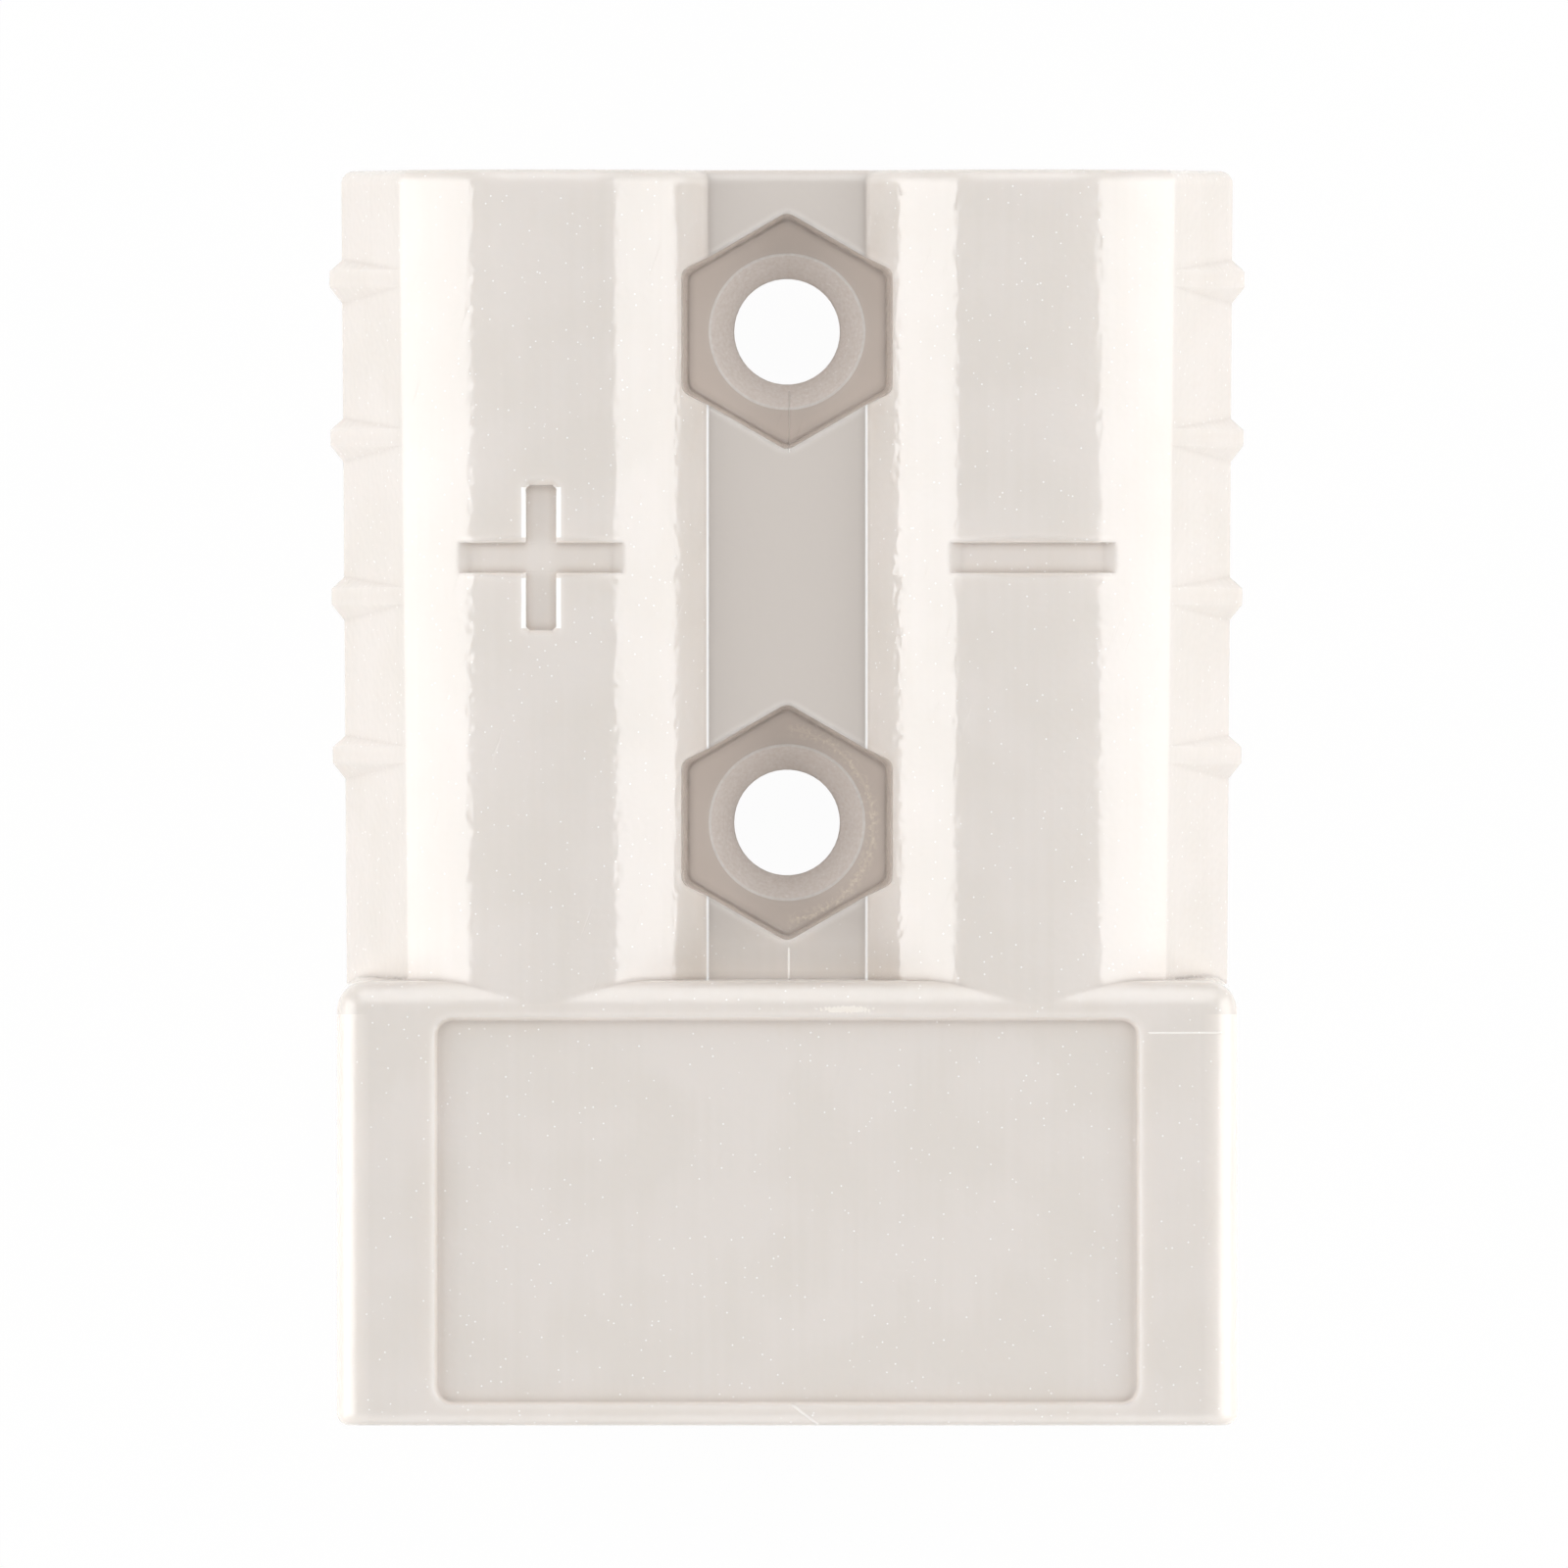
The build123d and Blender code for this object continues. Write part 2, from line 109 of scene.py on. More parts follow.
# %% Helpers for materials
def tone(code):
    """Linear colour of a hex code, by the formula of the sRGB standard."""
    steps = [int(code[i:i + 2], 16) / 255 for i in (1, 3, 5)]
    linear = [s / 12.92 if s <= 0.04045 else ((s + 0.055) / 1.055) ** 2.4 for s in steps]
    return (*linear, 1.0)


def node(tree, kind, settings=None, links=None):
    """Adds a node, sets its sockets and properties, and links outputs to its sockets."""
    made = tree.nodes.new(kind)
    for key, value in (settings or {}).items():
        if isinstance(key, int) or key in made.inputs:
            made.inputs[key].default_value = value
        else:
            setattr(made, key, value)
    for key, output in (links or {}).items():
        tree.links.new(output, made.inputs[key])
    return made


def new_material(name):
    """A new material with an empty node tree, and that tree."""
    material = bpy.data.materials.new(name)
    material.use_nodes = True
    material.node_tree.nodes.clear()
    return material, material.node_tree


def seen_directly(tree):
    """1 for rays from the camera, a mirror or glass, and 0 for rays that gather light."""
    path = node(tree, "ShaderNodeLightPath")
    seen = node(tree, "ShaderNodeMath", {"operation": "MAXIMUM"},
                {0: path.outputs["Is Camera Ray"], 1: path.outputs["Is Glossy Ray"]})
    seen = node(tree, "ShaderNodeMath", {"operation": "MAXIMUM"},
                {0: seen.outputs[0], 1: path.outputs["Is Transmission Ray"]})
    return seen.outputs[0]


print("mid grey on a screen is", round(tone("#808080")[0], 3), "in linear light")

# %% [markdown]
# ## Background and floor
#
# The background is pure white. A white world lights nothing by itself here: camera rays and
# mirror rays see it at full strength, and scattered light sees only a dim room. The floor is
# white card, which sends some light up at the connector's sides. To the camera it is mostly
# pure white, with a small share of the lit card mixed in, and that share keeps a soft
# shadow. From below the card is clear, so that the underside can be looked at too.

# %% World
room_level = 0.01

world = bpy.data.worlds.new("white_room")
bpy.context.scene.world = world
world.use_nodes = True
tree = world.node_tree
tree.nodes.clear()
seen = seen_directly(tree)
white = node(tree, "ShaderNodeBackground", {"Color": tone("#FFFFFF"), "Strength": 1.0})
room = node(tree, "ShaderNodeBackground", {"Color": tone("#FFFFFF"), "Strength": room_level})
both = node(tree, "ShaderNodeMixShader", None,
            {0: seen, 1: room.outputs[0], 2: white.outputs[0]})
node(tree, "ShaderNodeOutputWorld", None, {"Surface": both.outputs[0]})
bpy.context.scene.view_settings.view_transform = "Standard"
print("scattered light sees the room at", room_level)

# %% Floor
floor_side = 6.0
shadow_share = 0.03

bpy.ops.mesh.primitive_plane_add(size=floor_side, location=(0, 0, 0))
floor = bpy.context.object
floor.name = "floor"
card, tree = new_material("white_card")
seen = seen_directly(tree)
share = node(tree, "ShaderNodeMath", {"operation": "MULTIPLY", 1: 1 - shadow_share}, {0: seen})
matt = node(tree, "ShaderNodeBsdfDiffuse", {"Color": tone("#F4F3F1")})
glow = node(tree, "ShaderNodeEmission", {"Color": tone("#FFFFFF"), "Strength": 1.0})
top = node(tree, "ShaderNodeMixShader", None,
           {0: share.outputs[0], 1: matt.outputs[0], 2: glow.outputs[0]})
side = node(tree, "ShaderNodeNewGeometry")
clear = node(tree, "ShaderNodeBsdfTransparent")
sheet = node(tree, "ShaderNodeMixShader", None,
             {0: side.outputs["Backfacing"], 1: top.outputs[0], 2: clear.outputs[0]})
node(tree, "ShaderNodeOutputMaterial", None, {"Surface": sheet.outputs[0]})
floor.data.materials.append(card)
print("floor:", floor_side, "m square, showing", shadow_share, "of its shadow")

# %% [markdown]
# ## Housing: moulded polycarbonate
#
# The housing is injection moulded in one shot from light grey polycarbonate, in a polished
# steel mould. So the surface is a good mirror for the softboxes, but not a perfect one: it is
# a little uneven over a few millimetres where the plastic has shrunk, it has a fine grain, and
# it has faint streaks along the wires, the way that it slid out of the mould. The grain is
# what makes the edges of the white reflections ragged. Polycarbonate lets some light in, so
# the edges of the dark places glow warm. Its refractive index is about 1.58.
#
# A picture of plastic wrapped round the barrels would stretch at their ends, so every pattern
# is worked out from noise in the object's own space, in millimetres. Heights are in
# thousandths of a millimetre.

# %% Patterns of the even skin
cloud_mm = 4.0
grain_mm = 0.3
streak_mm = (0.3, 12.0, 0.3)

plastic, tree = new_material("moulded_polycarbonate")
coordinates = node(tree, "ShaderNodeTexCoord")
place = node(tree, "ShaderNodeVectorMath", {"operation": "SCALE", "Scale": 1000.0},
             {0: coordinates.outputs["Object"]}).outputs["Vector"]
cloud = node(tree, "ShaderNodeTexNoise",
             {"Scale": 1 / cloud_mm, "Detail": 1.0}, {"Vector": place}).outputs["Fac"]
grain = node(tree, "ShaderNodeTexNoise",
             {"Scale": 1 / grain_mm, "Detail": 0.0}, {"Vector": place}).outputs["Fac"]
pulled = node(tree, "ShaderNodeVectorMath",
              {"operation": "DIVIDE", 1: streak_mm}, {0: place}).outputs["Vector"]
streak = node(tree, "ShaderNodeTexNoise",
              {"Scale": 1.0, "Detail": 0.0}, {"Vector": pulled}).outputs["Fac"]
print("unevenness over", cloud_mm, "mm and grain of", grain_mm, "mm")

# %% [markdown]
# The three patterns now steer the colour, the height and the roughness. The colour hardly
# changes, because the plastic was mixed well: most of what the eye sees as uneven comes from
# the height, through the mirrored softboxes. A noise seldom leaves the range from 0.3 to 0.7,
# so that range is spread over the roughness.

# %% Colour, height and roughness of the even skin
streak_tint = 0.2
skin_tones = ((0.48, "#DDD6CF"), (0.72, "#E0D9D3"))
cloud_rise = 6.0
grain_rise = 9.0
streak_rise = 0.4
noise_low = 0.3
noise_high = 0.7
skin_roughness = (0.02, 0.04)

tint = node(tree, "ShaderNodeMath", {"operation": "MULTIPLY_ADD", 1: streak_tint},
            {0: streak, 2: cloud}).outputs[0]
skin = node(tree, "ShaderNodeValToRGB", None, {"Fac": tint})
for stop, (position, code) in zip(skin.color_ramp.elements, skin_tones):
    stop.position = position
    stop.color = tone(code)
colour = skin.outputs["Color"]
height = node(tree, "ShaderNodeMath", {"operation": "MULTIPLY", 1: cloud_rise},
              {0: cloud}).outputs[0]
for pattern, rise in ((grain, grain_rise), (streak, streak_rise)):
    height = node(tree, "ShaderNodeMath", {"operation": "MULTIPLY_ADD", 1: rise},
                  {0: pattern, 2: height}).outputs[0]
roughness = node(tree, "ShaderNodeMapRange",
                 {"From Min": noise_low, "From Max": noise_high,
                  "To Min": skin_roughness[0], "To Max": skin_roughness[1]},
                 {"Value": cloud}).outputs["Result"]
print("polycarbonate nodes so far:", len(tree.nodes))

# %% [markdown]
# Small bright specks lie all over the plastic: dust, and pits that catch the light, whose glints
# are a painted highlight in white. A Voronoi texture gives one point in each cell of four tenths
# of a millimetre, and only the few points that lie within a few hundredths of a millimetre of
# the surface show. Hairline scratches from handling are a noise stretched along one slanting
# direction, of which only the highest crests are kept.

# %% Specks and scratches
speck_cell_mm = 0.4
speck_radius_mm = 0.045
dust_and_glint_share = 0.8
scratch_mm = (0.07, 4.0, 0.5)
scratch_slant = 20
scratch_crests = (0.8, 0.9)
scratch_depth = 5.0

cells = node(tree, "ShaderNodeTexVoronoi", {"Scale": 1 / speck_cell_mm}, {"Vector": place})
speck = node(tree, "ShaderNodeMapRange",
             {"From Min": 0.5 * speck_radius_mm / speck_cell_mm,
              "From Max": speck_radius_mm / speck_cell_mm,
              "To Min": dust_and_glint_share, "To Max": 0.0},
             {"Value": cells.outputs["Distance"]}).outputs["Result"]
# Painted highlight and dust: the white of the specks in the colour stands for glints off pits as
# well as for dust.
colour = node(tree, "ShaderNodeMix", {"data_type": "RGBA", "B": tone("#FFFFFF")},
              {"Factor": speck, "A": colour}).outputs["Result"]
slanted = node(tree, "ShaderNodeVectorRotate",
               {"rotation_type": "Z_AXIS", "Angle": math.radians(scratch_slant)},
               {"Vector": place}).outputs["Vector"]
thin = node(tree, "ShaderNodeVectorMath",
            {"operation": "DIVIDE", 1: scratch_mm}, {0: slanted}).outputs["Vector"]
crests = node(tree, "ShaderNodeTexNoise",
              {"Scale": 1.0, "Detail": 0.0}, {"Vector": thin}).outputs["Fac"]
scratch = node(tree, "ShaderNodeMapRange",
               {"From Min": scratch_crests[0], "From Max": scratch_crests[1],
                "To Min": 0.0, "To Max": -scratch_depth},
               {"Value": crests}).outputs["Result"]
height = node(tree, "ShaderNodeMath", {"operation": "ADD"},
              {0: height, 1: scratch}).outputs[0]
print("cells with a speck in each cubic millimetre:", round(speck_cell_mm ** -3, 1))

# %% [markdown]
# Then come the marks that sit in one place each, all on the upper side. Where two streams of
# plastic met behind a hole they left a knit line, a fine ridge. A cut line crosses the right
# margin of the box, and another one the front edge. Each is given by its two ends as seen from
# above, by half its width and by its rise. The distance to the line between its ends raises the
# surface, and where it is raised enough a painted highlight makes it paler, for the softboxes
# that its slopes mirror.

# %% Knit lines and cut lines
upper_side = 8.5
line_shows = (3.0, 20.0)
line_highlight_share = 0.7
ridges = {
    "knit line on the web": ((0.07, -7.25, 0), (0.07, -6.0, 0), 0.05, 32.0),
    "knit line in the rear pocket": ((0.07, 13.7, 0), (0.09, 16.1, 0), 0.04, 26.0),
    "line across the right margin": ((14.35, -9.34, 0), (17.2, -9.33, 0), 0.05, 22.0),
    "line across the front edge": ((0.23, -24.1, 0), (1.2, -24.84, 0), 0.07, 34.0),
}
parts = node(tree, "ShaderNodeSeparateXYZ", None, {"Vector": place})
flat = node(tree, "ShaderNodeVectorMath",
            {"operation": "MULTIPLY", 1: (1, 1, 0)}, {0: place}).outputs["Vector"]
upper = node(tree, "ShaderNodeMath",
             {"operation": "GREATER_THAN", 1: upper_side}, {0: parts.outputs["Z"]}).outputs[0]
height_before = height
for name, (start, end, half_width, rise) in ridges.items():
    run = Vector(end) - Vector(start)
    offset = node(tree, "ShaderNodeVectorMath",
                  {"operation": "SUBTRACT", 1: start}, {0: flat}).outputs["Vector"]
    along = node(tree, "ShaderNodeVectorMath",
                 {"operation": "DOT_PRODUCT", 1: run / run.length_squared},
                 {0: offset}).outputs["Value"]
    along = node(tree, "ShaderNodeClamp", None, {"Value": along}).outputs["Result"]
    foot = node(tree, "ShaderNodeVectorMath",
                {"operation": "SCALE", 0: run}, {"Scale": along}).outputs["Vector"]
    away = node(tree, "ShaderNodeVectorMath",
                {"operation": "DISTANCE"}, {0: offset, 1: foot}).outputs["Value"]
    ridge = node(tree, "ShaderNodeMapRange",
                 {"From Min": 0.0, "From Max": half_width, "To Min": rise, "To Max": 0.0},
                 {"Value": away}).outputs["Result"]
    height = node(tree, "ShaderNodeMath", {"operation": "MULTIPLY_ADD"},
                  {0: ridge, 1: upper, 2: height}).outputs[0]
    print(name, round(run.length, 2), "mm long")
raised = node(tree, "ShaderNodeMath", {"operation": "SUBTRACT"},
              {0: height, 1: height_before}).outputs[0]
# Painted highlight mask: it grows where a line is raised enough.
painted_line_highlight = node(tree, "ShaderNodeMapRange",
               {"From Min": line_shows[0], "From Max": line_shows[1],
                "To Min": 0.0, "To Max": line_highlight_share}, {"Value": raised}).outputs["Result"]

# %% [markdown]
# Down on the web and in the pockets the plastic looks browner, because the light that gets there
# has met plastic once or twice before. That shade is painted: a darker, browner tone in the
# colour. There it also looks crisp, with no glow, so the mask of this hollow steers both the
# painted shade and how much light enters the plastic.

# %% Hollow between the barrels
hollow_half_width = 4.4
hollow_top = 12.75
hollow_front = -5.8
front_blend = 1.0
web_level = 12.0
level_blend = 0.3
glow_share = 0.45

across = node(tree, "ShaderNodeMath", {"operation": "ABSOLUTE"},
              {0: parts.outputs["X"]}).outputs[0]
hollow = node(tree, "ShaderNodeMath",
              {"operation": "LESS_THAN", 1: hollow_half_width}, {0: across}).outputs[0]
below = node(tree, "ShaderNodeMapRange",
             {"From Min": hollow_top, "From Max": hollow_top - level_blend,
              "To Min": 0.0, "To Max": 1.0}, {"Value": parts.outputs["Z"]}).outputs["Result"]
behind = node(tree, "ShaderNodeMapRange",
              {"From Min": hollow_front, "From Max": hollow_front + front_blend,
               "To Min": 0.0, "To Max": 1.0}, {"Value": parts.outputs["Y"]}).outputs["Result"]
for mask in (below, behind):
    hollow = node(tree, "ShaderNodeMath", {"operation": "MULTIPLY"},
                  {0: hollow, 1: mask}).outputs[0]
deep = node(tree, "ShaderNodeMapRange",
            {"From Min": web_level + level_blend, "From Max": web_level,
             "To Min": 0.0, "To Max": 1.0}, {"Value": parts.outputs["Z"]}).outputs["Result"]
# Painted shade: the hollow between the barrels and the pockets get a darker, browner tone, for
# the light that reaches them only after meeting plastic.
painted_hollow_shade = node(tree, "ShaderNodeMix",
                {"data_type": "RGBA", "A": tone("#D2CAC3"), "B": tone("#DDD2C9")},
                {"Factor": deep}).outputs["Result"]
colour = node(tree, "ShaderNodeMix", {"data_type": "RGBA"},
              {"Factor": hollow, "A": colour, "B": painted_hollow_shade}).outputs["Result"]
# Painted highlight: the raised lines are made paler in the colour, for the softboxes mirrored in
# their slopes.
colour = node(tree, "ShaderNodeMix", {"data_type": "RGBA", "B": tone("#FBF8F5")},
              {"Factor": painted_line_highlight, "A": colour}).outputs["Result"]
depth_glow = node(tree, "ShaderNodeMath",
                  {"operation": "MULTIPLY_ADD", 1: -glow_share, 2: glow_share},
                  {0: hollow}).outputs[0]
print("hollow between the barrels:", 2 * hollow_half_width, "mm wide")

# %% [markdown]
# The core pins that formed the holes and their seats were turned on a lathe, so the seats carry
# fine rings and a duller, lighter skin. Along the rounded rim of each seat runs a painted
# highlight, a near-white line in the colour for the softboxes that the rim mirrors. In the front
# pocket a nut or a washer has rubbed an arc into the floor. Both are circles seen from above, so
# their masks are distances from a point.

# %% Turned seats
hole_places = ((0, 18.5, 0), (0, -1.0, 0))
seat_radius = 3.12
seat_mottle = (0.25, 0.75)
seat_dullness = (0.45, 1.0)
seat_roughness = 0.25
lip_inset = 0.06
lip_half = 0.05
rings_per_mm = 9.0
ring_rise = 8.0
mottle_per_mm = 7.0

from_holes = [node(tree, "ShaderNodeVectorMath", {"operation": "DISTANCE", 1: hole},
                   {0: flat}).outputs["Value"] for hole in hole_places]
from_axis = node(tree, "ShaderNodeMath", {"operation": "MINIMUM"},
                 {0: from_holes[0], 1: from_holes[1]}).outputs[0]
seat = node(tree, "ShaderNodeMath", {"operation": "LESS_THAN", 1: seat_radius},
            {0: from_axis}).outputs[0]
seat = node(tree, "ShaderNodeMath", {"operation": "MULTIPLY"}, {0: seat, 1: upper}).outputs[0]
turned = node(tree, "ShaderNodeTexNoise",
              {"noise_dimensions": "1D", "Scale": rings_per_mm, "Detail": 1.0},
              {"W": from_axis}).outputs["Fac"]
mottle = node(tree, "ShaderNodeTexNoise", {"Scale": mottle_per_mm, "Detail": 2.0},
              {"Vector": place}).outputs["Fac"]
dull = node(tree, "ShaderNodeMapRange",
            {"From Min": seat_mottle[0], "From Max": seat_mottle[1],
             "To Min": seat_dullness[0], "To Max": seat_dullness[1]},
            {"Value": mottle}).outputs["Result"]
dull = node(tree, "ShaderNodeMath", {"operation": "MULTIPLY"}, {0: dull, 1: seat}).outputs[0]
colour = node(tree, "ShaderNodeMix", {"data_type": "RGBA", "B": tone("#F3EDE9")},
              {"Factor": dull, "A": colour}).outputs["Result"]
roughness = node(tree, "ShaderNodeMath", {"operation": "MULTIPLY_ADD", 1: seat_roughness},
                 {0: dull, 2: roughness}).outputs[0]
# Painted highlight: a near-white line along the rounded rim of each seat.
painted_lip_highlight = node(tree, "ShaderNodeMath",
           {"operation": "COMPARE", 1: seat_radius - lip_inset, 2: lip_half},
           {0: from_axis}).outputs[0]
for mask in (seat, dull):
    painted_lip_highlight = node(tree, "ShaderNodeMath", {"operation": "MULTIPLY"}, {0: painted_lip_highlight, 1: mask}).outputs[0]
colour = node(tree, "ShaderNodeMix", {"data_type": "RGBA", "B": tone("#FBF9F6")},
              {"Factor": painted_lip_highlight, "A": colour}).outputs["Result"]
ring_height = node(tree, "ShaderNodeMath", {"operation": "MULTIPLY", 1: ring_rise},
                   {0: turned}).outputs[0]
height = node(tree, "ShaderNodeMath", {"operation": "MULTIPLY_ADD"},
              {0: ring_height, 1: seat, 2: height}).outputs[0]
print("seats:", len(hole_places), "of", 2 * seat_radius, "mm")

# %% The rubbed arc
pocket_floor = 9.8
floor_half = 0.05
rub_centre = (-0.42, -1.1, 0)
rub_radius = 3.84
rub_fades = (0.05, 0.35)
rub_side = (-0.1, 0.4)
scuff_mottle = (0.5, 0.6)
scuff_share = 0.7
line_half = (0.03, 0.07)
line_share = 0.4
rub_roughness = 0.4

off_arc = node(tree, "ShaderNodeVectorMath", {"operation": "DISTANCE", 1: rub_centre},
               {0: flat}).outputs["Value"]
off_arc = node(tree, "ShaderNodeMath", {"operation": "SUBTRACT", 1: rub_radius},
               {0: off_arc}).outputs[0]
off_arc = node(tree, "ShaderNodeMath", {"operation": "ABSOLUTE"}, {0: off_arc}).outputs[0]
rub = node(tree, "ShaderNodeMapRange",
           {"From Min": rub_fades[0], "From Max": rub_fades[1], "To Min": 1.0, "To Max": 0.0},
           {"Value": off_arc}).outputs["Result"]
right_half = node(tree, "ShaderNodeMapRange",
                  {"From Min": rub_side[0], "From Max": rub_side[1],
                   "To Min": 0.0, "To Max": 1.0},
                  {"Value": parts.outputs["X"]}).outputs["Result"]
on_floor = node(tree, "ShaderNodeMath",
                {"operation": "COMPARE", 1: pocket_floor, 2: floor_half},
                {0: parts.outputs["Z"]}).outputs[0]
scuffs = node(tree, "ShaderNodeMapRange",
              {"From Min": scuff_mottle[0], "From Max": scuff_mottle[1],
               "To Min": 0.0, "To Max": scuff_share},
              {"Value": mottle}).outputs["Result"]
line = node(tree, "ShaderNodeMapRange",
            {"From Min": line_half[0], "From Max": line_half[1],
             "To Min": line_share, "To Max": 0.0},
            {"Value": off_arc}).outputs["Result"]
scuffs = node(tree, "ShaderNodeMath", {"operation": "MAXIMUM"},
              {0: scuffs, 1: line}).outputs[0]
for mask in (rub, right_half, on_floor):
    scuffs = node(tree, "ShaderNodeMath", {"operation": "MULTIPLY"},
                  {0: scuffs, 1: mask}).outputs[0]
colour = node(tree, "ShaderNodeMix", {"data_type": "RGBA", "B": tone("#F4EBDD")},
              {"Factor": scuffs, "A": colour}).outputs["Result"]
roughness = node(tree, "ShaderNodeMath", {"operation": "MULTIPLY_ADD", 1: rub_roughness},
                 {0: scuffs, 2: roughness}).outputs[0]
print("rubbed arc of", rub_radius, "mm radius")

# %% [markdown]
# On the rounded rear edge of the box, right of the middle, is the scar where the gate was cut
# off: a small whitish, ragged spot. It is too thin for a form of its own. Its mask is an
# ellipse whose edge the mottle moves in and out.

# %% Gate scar
gate_place = (2.4, -8.4, 0)
gate_size = (1.5, 0.2, 1.0)
gate_raggedness = 1.2
gate_edge = (1.15, 1.3)

from_gate = node(tree, "ShaderNodeVectorMath", {"operation": "SUBTRACT", 1: gate_place},
                 {0: flat}).outputs["Vector"]
from_gate = node(tree, "ShaderNodeVectorMath", {"operation": "DIVIDE", 1: gate_size},
                 {0: from_gate}).outputs["Vector"]
from_gate = node(tree, "ShaderNodeVectorMath", {"operation": "LENGTH"},
                 {0: from_gate}).outputs["Value"]
ragged = node(tree, "ShaderNodeMath", {"operation": "MULTIPLY_ADD", 1: gate_raggedness},
              {0: mottle, 2: from_gate}).outputs[0]
scar = node(tree, "ShaderNodeMapRange",
            {"From Min": gate_edge[0], "From Max": gate_edge[1], "To Min": 1.0, "To Max": 0.0},
            {"Value": ragged}).outputs["Result"]
scar = node(tree, "ShaderNodeMath", {"operation": "MULTIPLY"}, {0: scar, 1: upper}).outputs[0]
colour = node(tree, "ShaderNodeMix", {"data_type": "RGBA", "B": tone("#F0EAE2")},
              {"Factor": scar, "A": colour}).outputs["Result"]
print("gate scar at", gate_place[:2], "mm")

# %% [markdown]
# Light that enters a thin edge comes out again, so the outer edges show as lighter lines, and
# the long sides of the box glow a little. Inner corners get little light and look brownish. The
# subsurface in the shader shows both only faintly, so this light and shade is painted into the
# colour: a painted glow along the long sides of the box, painted light along the outer edges and
# painted shade in the inner corners. Two short-range occlusion nodes find the edges and corners:
# one looks into the plastic and the other looks out. These nodes measure in the scene itself, so
# their reach is in metres.

# %% Painted light on edges and painted shade in corners
glow_begins = 16.5
glow_ends = 17.6
painted_side_glow = 0.55
box_rear = -8.6
top_level = 14.6
edge_reach = 0.32e-3
edge_opens = (0.95, 0.55)
corner_reach = 0.35e-3
corner_closes = (0.9, 0.45)
corner_shade_share = 0.8

# Painted glow: a lighter, warm tone along the long sides of the box.
glow = node(tree, "ShaderNodeMapRange",
            {"From Min": glow_begins, "From Max": glow_ends, "To Min": 0.0, "To Max": painted_side_glow},
            {"Value": across}).outputs["Result"]
on_box = node(tree, "ShaderNodeMath", {"operation": "LESS_THAN", 1: box_rear},
              {0: parts.outputs["Y"]}).outputs[0]
on_top = node(tree, "ShaderNodeMath", {"operation": "GREATER_THAN", 1: top_level},
              {0: parts.outputs["Z"]}).outputs[0]
for mask in (on_box, on_top):
    glow = node(tree, "ShaderNodeMath", {"operation": "MULTIPLY"},
                {0: glow, 1: mask}).outputs[0]
colour = node(tree, "ShaderNodeMix", {"data_type": "RGBA", "B": tone("#FAF2EA")},
              {"Factor": glow, "A": colour}).outputs["Result"]
# Painted light along the outer edges, found by occlusion inside the plastic.
inward = node(tree, "ShaderNodeAmbientOcclusion",
              {"samples": 1, "inside": True, "only_local": True, "Distance": edge_reach})
painted_edge_light = node(tree, "ShaderNodeMapRange",
            {"From Min": edge_opens[0], "From Max": edge_opens[1],
             "To Min": 0.0, "To Max": 1.0},
            {"Value": inward.outputs["AO"]}).outputs["Result"]
colour = node(tree, "ShaderNodeMix", {"data_type": "RGBA", "B": tone("#FAF6F2")},
              {"Factor": painted_edge_light, "A": colour}).outputs["Result"]
# Painted shade in the inner corners, found by occlusion outside the plastic.
outward = node(tree, "ShaderNodeAmbientOcclusion",
               {"samples": 1, "only_local": True, "Distance": corner_reach})
painted_corner_shade = node(tree, "ShaderNodeMapRange",
             {"From Min": corner_closes[0], "From Max": corner_closes[1],
              "To Min": 0.0, "To Max": corner_shade_share},
             {"Value": outward.outputs["AO"]}).outputs["Result"]
colour = node(tree, "ShaderNodeMix", {"data_type": "RGBA", "B": tone("#9C8B7F")},
              {"Factor": painted_corner_shade, "A": colour}).outputs["Result"]
print("pale within", 1000 * edge_reach, "mm of an edge")

# %% [markdown]
# Where the web meets the barrels, a small fillet mirrors the softboxes as a thin white line.
# The rims at both sides of the plus mark's upright arm do the same. The CAD model has a plain
# corner in the fillet's place, and the bevel in the shader rounds the rims away from the
# softboxes, so these lines are drawn in white, each by its place.

# %% Bright fillets and rims
fillet_place = 3.15
fillet_half = 0.05
fillet_span = (12.35, 12.85)
fillet_rear = 17.0
arm_place = (-9.75, 9.5)
rim_place = 0.69
rim_half = 0.1
arm_middle = 1.8
arm_half = 1.0

fillet = node(tree, "ShaderNodeMath",
              {"operation": "COMPARE", 1: fillet_place, 2: fillet_half},
              {0: across}).outputs[0]
at_foot = node(tree, "ShaderNodeMath",
               {"operation": "COMPARE", 1: sum(fillet_span) / 2,
                2: (fillet_span[1] - fillet_span[0]) / 2}, {0: parts.outputs["Z"]}).outputs[0]
before_rear = node(tree, "ShaderNodeMath", {"operation": "LESS_THAN", 1: fillet_rear},
                   {0: parts.outputs["Y"]}).outputs[0]
for mask in (at_foot, before_rear):
    fillet = node(tree, "ShaderNodeMath", {"operation": "MULTIPLY"},
                  {0: fillet, 1: mask}).outputs[0]
rim = on_top
for axis, middle, off, half in (("X", arm_place[0], rim_place, rim_half),
                                ("Y", arm_place[1], arm_middle, arm_half)):
    aside = node(tree, "ShaderNodeMath", {"operation": "SUBTRACT", 1: middle},
                 {0: parts.outputs[axis]}).outputs[0]
    aside = node(tree, "ShaderNodeMath", {"operation": "ABSOLUTE"}, {0: aside}).outputs[0]
    aside = node(tree, "ShaderNodeMath", {"operation": "COMPARE", 1: off, 2: half},
                 {0: aside}).outputs[0]
    rim = node(tree, "ShaderNodeMath", {"operation": "MULTIPLY"}, {0: rim, 1: aside}).outputs[0]
bright = node(tree, "ShaderNodeMath", {"operation": "MAXIMUM"}, {0: fillet, 1: rim}).outputs[0]
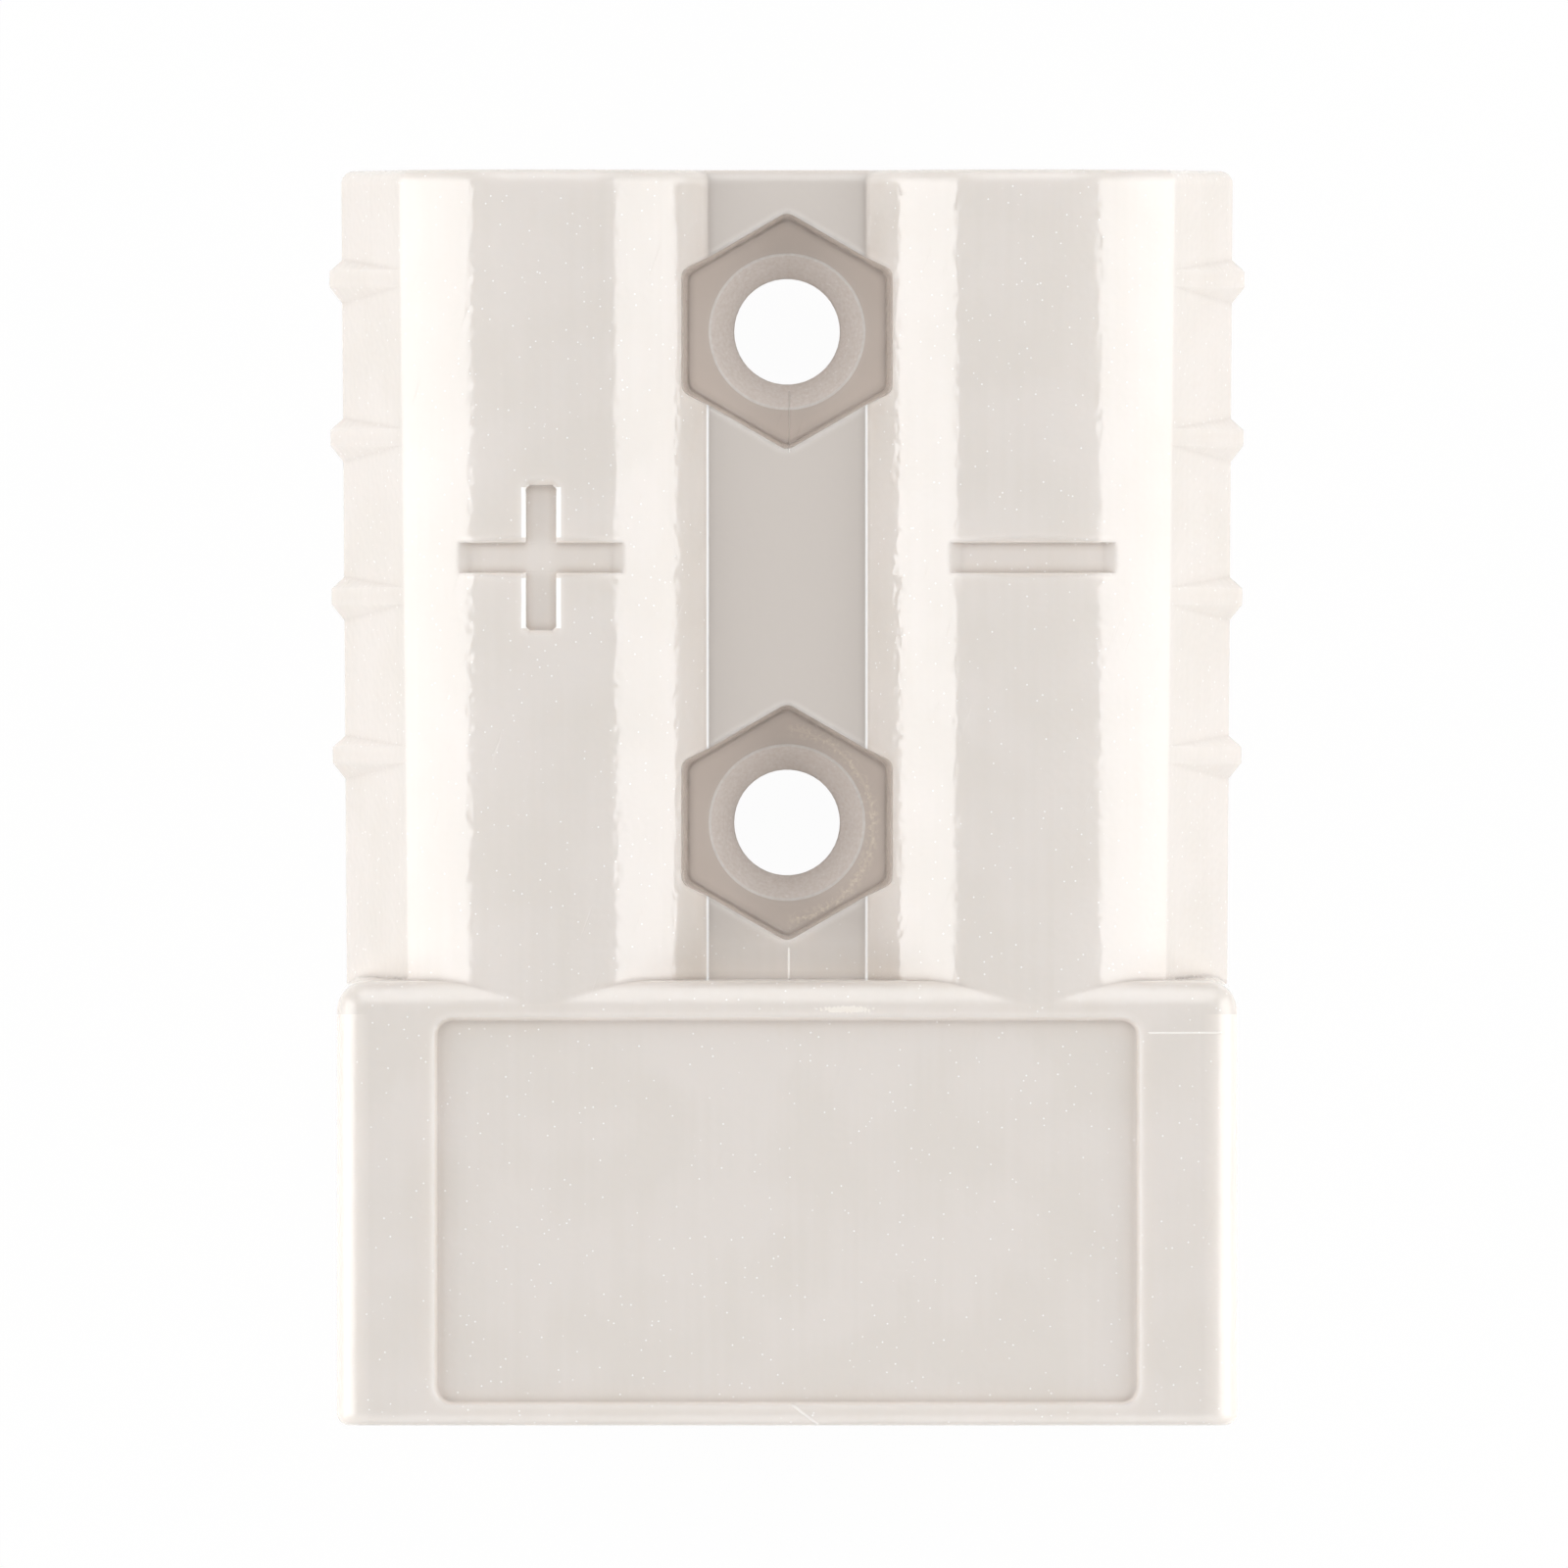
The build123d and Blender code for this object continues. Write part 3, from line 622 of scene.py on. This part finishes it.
colour = node(tree, "ShaderNodeMix", {"data_type": "RGBA", "B": tone("#FFFFFF")},
              {"Factor": bright, "A": colour}).outputs["Result"]
print("fillets:", round(fillet_span[1] - fillet_span[0], 2), "mm high")

# %% [markdown]
# The last step joins colour, roughness and height in one shader. A moulded part has no sharp
# edge, so a bevel of three tenths of a millimetre rounds every edge in the shading. The CAD
# mesh stays as it is, which a Bevel modifier would not allow. Burley's subsurface is the
# quickest of Blender's methods, and its radius of a millimetre suits a wall that is only
# slightly clear.

# %% Polycarbonate: the shader
edge_radius = 0.3e-3
thousandth = 1e-6
polycarbonate_ior = 1.58
mirror_level = 0.7
light_reach = 1.0e-3
light_spread = (1.0, 0.8, 0.65)

rounded = node(tree, "ShaderNodeBevel", {"samples": 2, "Radius": edge_radius})
surface = node(tree, "ShaderNodeBump", {"Strength": 1.0, "Distance": thousandth},
               {"Height": height, "Normal": rounded.outputs["Normal"]})
body = node(tree, "ShaderNodeBsdfPrincipled",
            {"subsurface_method": "BURLEY", "IOR": polycarbonate_ior,
             "Specular IOR Level": mirror_level, "Subsurface Scale": light_reach,
             "Subsurface Radius": light_spread},
            {"Base Color": colour, "Roughness": roughness, "Subsurface Weight": depth_glow,
             "Normal": surface.outputs["Normal"]})
node(tree, "ShaderNodeOutputMaterial", None, {"Surface": body.outputs[0]})
nodes["housing"].material_slots[0].material = plastic
print("polycarbonate nodes:", len(tree.nodes))

# %% [markdown]
# ## Contacts: silver-plated copper
#
# Each contact is stamped and rolled from copper and then silver plated. Fresh plating is a
# satin white metal, a little yellow where it has begun to tarnish. A slow noise steers both
# the tint and the haze, because tarnish changes both at once.

# %% Silver plating
tarnish_mm = 3.0
silver_tones = ((0.35, "#D9D3C6"), (0.65, "#EBE9E4"))
silver_haze = (0.22, 0.36)

silver, tree = new_material("silver_plating")
coordinates = node(tree, "ShaderNodeTexCoord")
tarnish = node(tree, "ShaderNodeTexNoise",
               {"Scale": 1000 / tarnish_mm, "Detail": 3.0},
               {"Vector": coordinates.outputs["Object"]})
blend = node(tree, "ShaderNodeValToRGB", None, {"Fac": tarnish.outputs["Fac"]})
for stop, (position, code) in zip(blend.color_ramp.elements, silver_tones):
    stop.position = position
    stop.color = tone(code)
haze = node(tree, "ShaderNodeMapRange",
            {"From Min": noise_low, "From Max": noise_high,
             "To Min": silver_haze[0], "To Max": silver_haze[1]},
            {"Value": tarnish.outputs["Fac"]})
body = node(tree, "ShaderNodeBsdfPrincipled", {"Metallic": 1.0},
            {"Base Color": blend.outputs["Color"], "Roughness": haze.outputs["Result"]})
node(tree, "ShaderNodeOutputMaterial", None, {"Surface": body.outputs[0]})
for name in ("contact_positive", "contact_negative"):
    nodes[name].material_slots[0].material = silver
print("silver nodes:", len(tree.nodes))

# %% [markdown]
# ## Leaf springs: rolled stainless strip
#
# The springs are cut from cold rolled strip. The rolls leave fine lines along the strip,
# which draw the light out across it. A noise that is stretched along the strip draws the
# lines both in the haze and as a shallow bump.

# %% Stainless strip
roll_line_mm = 0.15
line_stretch = 25
line_depth = 2e-6
steel_haze = (0.2, 0.4)

steel, tree = new_material("stainless_strip")
coordinates = node(tree, "ShaderNodeTexCoord")
stretch = node(tree, "ShaderNodeMapping", {"Scale": (1.0, 1 / line_stretch, 1.0)},
               {"Vector": coordinates.outputs["Object"]})
lines = node(tree, "ShaderNodeTexNoise",
             {"Scale": 1000 / roll_line_mm, "Detail": 2.0},
             {"Vector": stretch.outputs["Vector"]})
haze = node(tree, "ShaderNodeMapRange",
            {"From Min": noise_low, "From Max": noise_high,
             "To Min": steel_haze[0], "To Max": steel_haze[1]},
            {"Value": lines.outputs["Fac"]})
bump = node(tree, "ShaderNodeBump", {"Strength": 0.5, "Distance": line_depth},
            {"Height": lines.outputs["Fac"]})
body = node(tree, "ShaderNodeBsdfPrincipled",
            {"Metallic": 1.0, "Base Color": tone("#B4B2AE")},
            {"Roughness": haze.outputs["Result"], "Normal": bump.outputs["Normal"]})
node(tree, "ShaderNodeOutputMaterial", None, {"Surface": body.outputs[0]})
for name in ("contact_spring_positive", "contact_spring_negative"):
    nodes[name].material_slots[0].material = steel
print("steel nodes:", len(tree.nodes))
